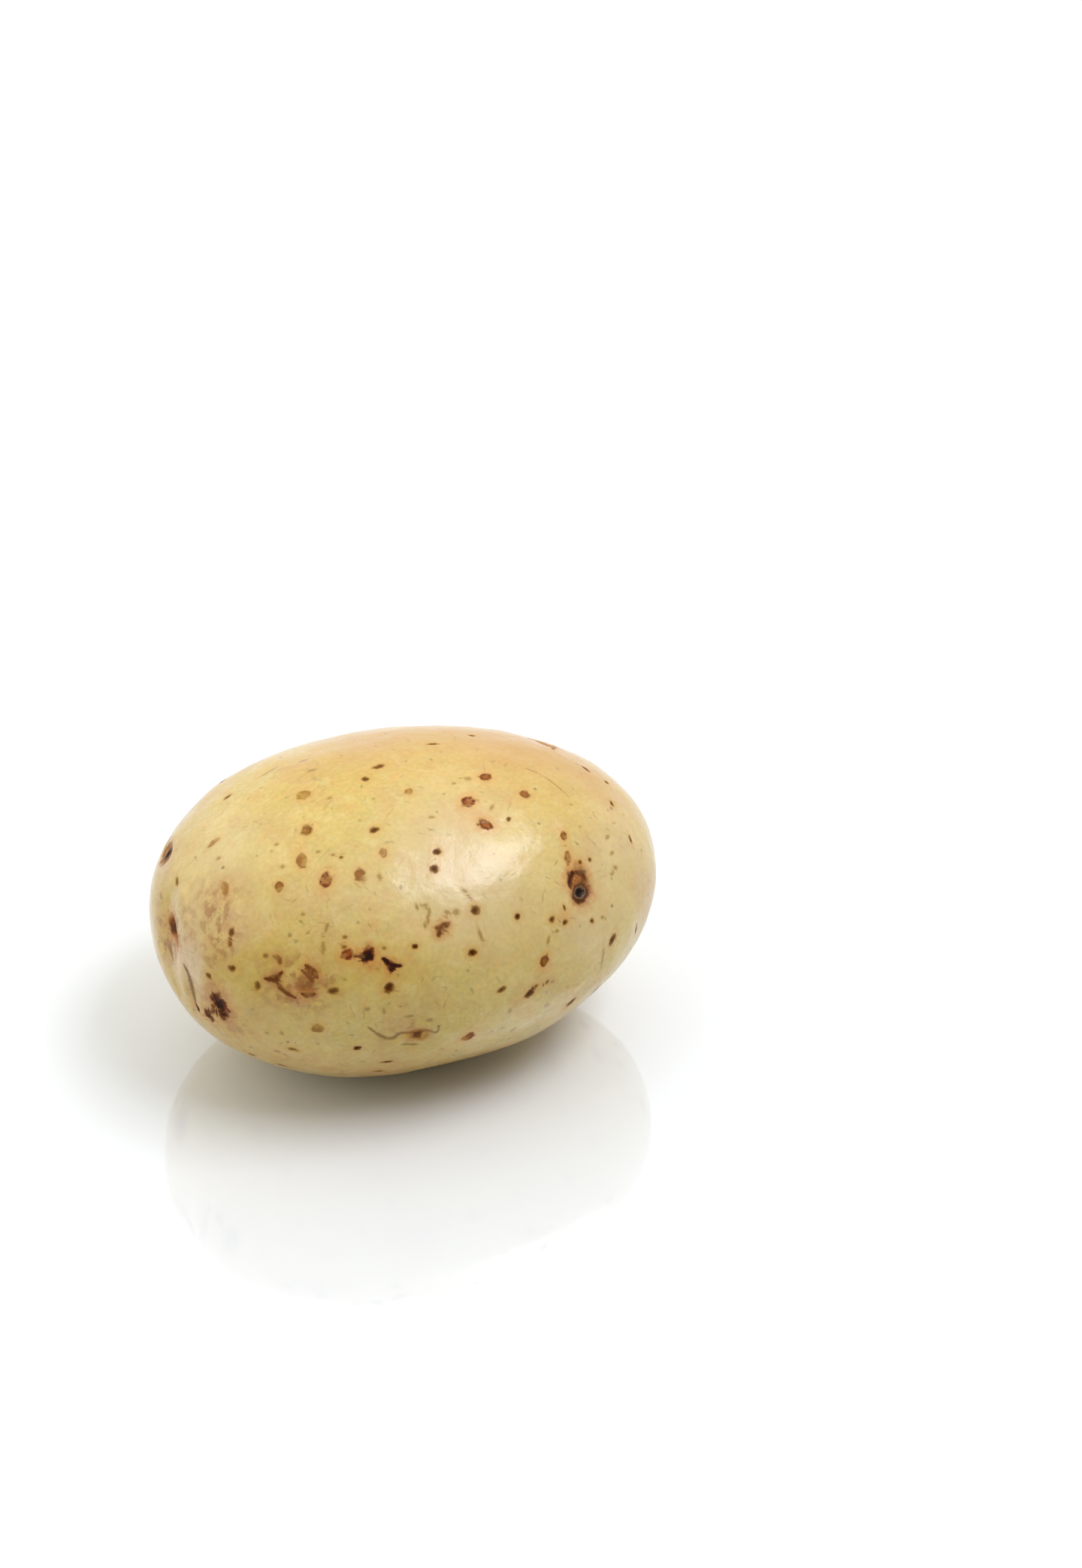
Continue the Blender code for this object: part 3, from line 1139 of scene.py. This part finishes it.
def clean_skin_colour(skin, stain_amount):
    """The skin with its soft patches, some of them painted shade and painted sheen, its specks and scuffs,
    before the marks.
    """
    colour = ground_colour(skin)
    # paler patches, partly painted sheen and highlight
    colour = skin.blend(skin.times(amount_of(skin, "pale_and_sheen"), 0.75), colour, PALE_AND_SHEEN_TINT)
    # golden patches, partly painted shade
    colour = skin.blend(skin.times(amount_of(skin, "golden_and_shade"), 0.80), colour, GOLDEN_AND_SHADE_TINT)
    colour = add_blushes(skin, colour)
    colour = add_stains(skin, colour, stain_amount)
    colour = add_russet(skin, colour, stain_amount)
    for specks in SPECKS:
        colour = add_specks(skin, colour, *specks)
    for scuffs in SCUFFS:
        colour = add_scuffs(skin, colour, *scuffs)
    return colour


def add_rings(skin, colour, distance, strength, rings):
    """Paints a mark from its outermost ring inwards."""
    for reach, softness, shade, opacity in rings:
        inside = skin.step(distance, reach - softness, reach + softness, 1.0, 0.0)
        colour = skin.blend(skin.times(inside, strength, opacity), colour, shade)
    return colour


def add_eyes(skin, colour, distance):
    patches = skin.step(skin.cloud(0.0014, 3), 0.38, 0.56, 0.35, 1.0)
    return add_rings(skin, colour, distance, skin.times(skin.field("eye_strength"), patches), EYE_RINGS)


def add_pores(skin, colour, distance):
    """Pores with a patchy rim, from brown to reddish."""
    patchy = skin.step(skin.cloud(0.0015, 2), 0.36, 0.56, 0.60, 1.05)
    redness = skin.field("pore_redness")
    rim = skin.blend(redness, PORE_RIM, RED_PORE_RIM)
    middle = skin.blend(redness, PORE_MIDDLE, RED_PORE_MIDDLE)
    return add_rings(skin, colour, distance, skin.times(skin.field("pore_strength"), patchy), [
        (1.95, 0.90, PORE_HALO, 0.42),
        (1.06, 0.26, rim, 0.94),
        (0.42, 0.30, middle, 0.62),
    ])


def add_streaks(skin, colour, distance):
    broken = skin.step(skin.cloud(0.0013, 2), 0.34, 0.56, 0.65, 1.0)
    return add_rings(skin, colour, distance, skin.times(skin.field("streak_strength"), broken), STREAK_RINGS)


def add_marks(skin, colour, distances, crease_amount):
    """Paints every mark, the darkest kinds last."""
    colour = add_eyes(skin, colour, distances["eye"])
    colour = add_rings(skin, colour, distances["fleck"], skin.field("fleck_strength"), FLECK_RINGS)
    colour = add_pores(skin, colour, distances["pore"])
    colour = add_rings(skin, colour, distances["dot"], skin.field("dot_strength"), DOT_RINGS)
    colour = skin.blend(crease_amount, colour, CREASE_BROWN)
    colour = add_streaks(skin, colour, distances["streak"])
    colour = add_rings(skin, colour, distances["scab"], skin.field("scab_strength"), SCAB_RINGS)
    return add_rings(skin, colour, distances["bud"], skin.field("bud_strength"), BUD_RINGS)


def cork_cover(skin, distances, crease_amount, stain_amount):
    """How corky the skin is. Cork is rough and dull, where the clean skin is damp and glossy."""
    cork = skin.calc("MAXIMUM", crease_amount, skin.times(stain_amount, 0.35))
    for kind, (full, none, amount) in CORKY_MARKS.items():
        cork = skin.calc("MAXIMUM", cork, skin.step(distances[kind], full, none, amount, 0.0))
    return cork


def skin_bump(skin, cork):
    """The fine pebbling of the skin and the crust of the corky marks."""
    pebbling = skin.bump(skin.cloud(PEBBLE_SIZE, 2), PEBBLE_HEIGHT, 0.55)
    crust = skin.calc("SUBTRACT", skin.cloud(CRUST_GRAIN, 3), 0.5)
    return skin.bump(skin.times(crust, cork), CRUST_HEIGHT, 0.3, pebbling)


def potato_skin_material():
    skin = Finish("potato_skin")
    distances = {kind: skin.mark(kind, *edge) for kind, edge in MARK_EDGES.items()}
    stain_amount = amount_of(skin, "stain")
    crease_shape = skin.step(distances["crease"], 0.2, 1.6, 1.0, 0.0)
    crease_amount = skin.times(crease_shape, skin.field("crease_strength"))
    colour = add_marks(skin, clean_skin_colour(skin, stain_amount), distances, crease_amount)
    cork = cork_cover(skin, distances, crease_amount, stain_amount)
    damp = skin.step(skin.cloud(0.0040, 3), 0.35, 0.65, 0.38, 0.50)
    surface = skin_bump(skin, cork)

    shader = skin.shader
    skin.feed(shader.inputs["Base Color"], colour)
    skin.feed(shader.inputs["Roughness"], skin.calc("ADD", damp, skin.times(cork, 0.25)))
    skin.feed(shader.inputs["Normal"], surface)
    skin.feed(shader.inputs["Coat Weight"], skin.step(cork, 0.0, 1.0, 0.95, 0.06))
    skin.feed(shader.inputs["Coat Normal"], surface)
    shader.inputs["Specular IOR Level"].default_value = 0.08
    shader.inputs["Coat Roughness"].default_value = 0.23
    shader.inputs["Subsurface Weight"].default_value = 0.06
    shader.inputs["Subsurface Radius"].default_value = (0.0020, 0.0012, 0.0004)
    shader.inputs["Subsurface Scale"].default_value = 1.0
    return skin.material


# ---------------------------------------------------------------- stage

def floor_material():
    table = Finish("pale_floor")
    table.shader.inputs["Base Color"].default_value = tint(237, 240, 237)
    table.shader.inputs["Roughness"].default_value = 0.05
    table.shader.inputs["IOR"].default_value = 1.6
    table.shader.inputs["Coat Weight"].default_value = 1.0
    table.shader.inputs["Coat Roughness"].default_value = 0.03
    table.shader.inputs["Coat IOR"].default_value = 1.6
    return table.material


def floor():
    shape = bmesh.new()
    bmesh.ops.create_grid(shape, x_segments=1, y_segments=1, size=FLOOR_SIZE / 2)
    bmesh.ops.translate(shape, verts=shape.verts, vec=(0, 0, CAD_BOX[0].z))
    mesh = bpy.data.meshes.new("floor")
    shape.to_mesh(mesh)
    shape.free()
    mesh.materials.append(floor_material())
    piece = bpy.data.objects.new("floor", mesh)
    bpy.context.scene.collection.objects.link(piece)
    return piece


def direction(azimuth, elevation):
    """From the potato towards a place in the studio. Azimuth 0 is the front, 90 the right."""
    turn = math.radians(azimuth)
    rise = math.radians(elevation)
    return Vector((math.sin(turn) * math.cos(rise), -math.cos(turn) * math.cos(rise), math.sin(rise)))


def softbox(name, azimuth, elevation, distance, width, height, power):
    """A rectangular light that faces the potato."""
    light = bpy.data.lights.new(name, "AREA")
    light.shape = "RECTANGLE"
    light.size = width
    light.size_y = height
    light.energy = power
    light.color = LIGHT_COLOUR
    lamp = bpy.data.objects.new(name, light)
    towards = direction(azimuth, elevation)
    lamp.location = MIDDLE + towards * distance
    lamp.rotation_euler = towards.to_track_quat("Z", "Y").to_euler()
    bpy.context.scene.collection.objects.link(lamp)


def white_room():
    """A soft white room, brightest at the back wall and dim in front of the potato."""
    world = bpy.data.worlds.new("white_room")
    world.use_nodes = True
    nodes = world.node_tree.nodes
    links = world.node_tree.links
    towards = nodes.new("ShaderNodeTexCoord").outputs["Generated"]
    facing = nodes.new("ShaderNodeVectorMath")
    facing.operation = "DOT_PRODUCT"
    facing.inputs[1].default_value = direction(BACK_WALL_AZIMUTH, BACK_WALL_ELEVATION)
    links.new(towards, facing.inputs[0])
    brightness = nodes.new("ShaderNodeMapRange")
    brightness.interpolation_type = "SMOOTHSTEP"
    brightness.inputs["From Min"].default_value = BACK_WALL_EDGES[0]
    brightness.inputs["From Max"].default_value = BACK_WALL_EDGES[1]
    brightness.inputs["To Min"].default_value = ROOM_BRIGHTNESS
    brightness.inputs["To Max"].default_value = BACK_WALL_BRIGHTNESS
    links.new(facing.outputs["Value"], brightness.inputs["Value"])
    links.new(brightness.outputs["Result"], nodes["Background"].inputs["Strength"])
    nodes["Background"].inputs["Color"].default_value = (1.0, 1.0, 1.0, 1.0)
    return world


def studio():
    bpy.context.scene.world = white_room()
    bpy.context.scene.view_settings.view_transform = "Standard"
    for light in LIGHTS:
        softbox(*light)


def camera():
    data = bpy.data.cameras.new("camera")
    data.lens = CAMERA_LENS
    view = bpy.data.objects.new("camera", data)
    bpy.context.scene.collection.objects.link(view)
    back = direction(CAMERA_AZIMUTH, CAMERA_ELEVATION)
    right = Vector((0, 0, 1)).cross(back).normalized()
    up = back.cross(right)
    view.location = MIDDLE + back * CAMERA_DISTANCE
    aim = MIDDLE + right * AIM_RIGHT + up * AIM_UP
    view.rotation_euler = (view.location - aim).to_track_quat("Z", "Y").to_euler()
    bpy.context.scene.camera = view


skin_piece = potato()
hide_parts("potato")
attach(skin_piece, "root")
floor()
studio()
camera()
